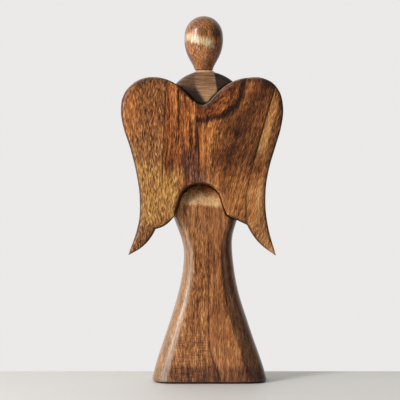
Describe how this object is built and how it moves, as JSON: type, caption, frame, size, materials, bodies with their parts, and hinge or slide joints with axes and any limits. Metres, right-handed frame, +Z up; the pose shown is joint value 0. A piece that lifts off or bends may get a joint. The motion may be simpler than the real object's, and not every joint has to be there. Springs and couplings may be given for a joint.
{
  "type": "carved wooden angel figurine",
  "caption": "Stylised standing angel carved in wood: faceless egg-shaped head, heart-shaped wings of two glued boards let into a flat bell-shaped body, felt under the base.",
  "frame": {"origin": "middle of the base's underside, on the felt's bottom face, where the figure stands", "axes": "+Z up; -Y is the side that the wings are on; +X to the right when looking at the wings"},
  "size_m": [0.1456, 0.051, 0.3332],
  "materials": {
    "wood_body": "dark-stained hardwood with visible grain, satin lacquer",
    "wood_head": "dark-stained hardwood, turned, satin lacquer",
    "wood_wing_left": "golden brown figured hardwood, satin lacquer",
    "wood_wing_right": "dark brown hardwood with a strip of pale sapwood, satin lacquer",
    "wood_dowel": "bare beech, unfinished",
    "felt": "thin pressed felt, matt"
  },
  "bodies": {
    "root": {"body": "wood_body", "head": "wood_head", "wing_left": "wood_wing_left", "wing_right": "wood_wing_right", "neck_dowel": "wood_dowel", "wing_left_dowel_upper": "wood_dowel", "wing_left_dowel_lower": "wood_dowel", "wing_right_dowel_upper": "wood_dowel", "wing_right_dowel_lower": "wood_dowel", "base_felt": "felt"}
  },
  "joints": []
}
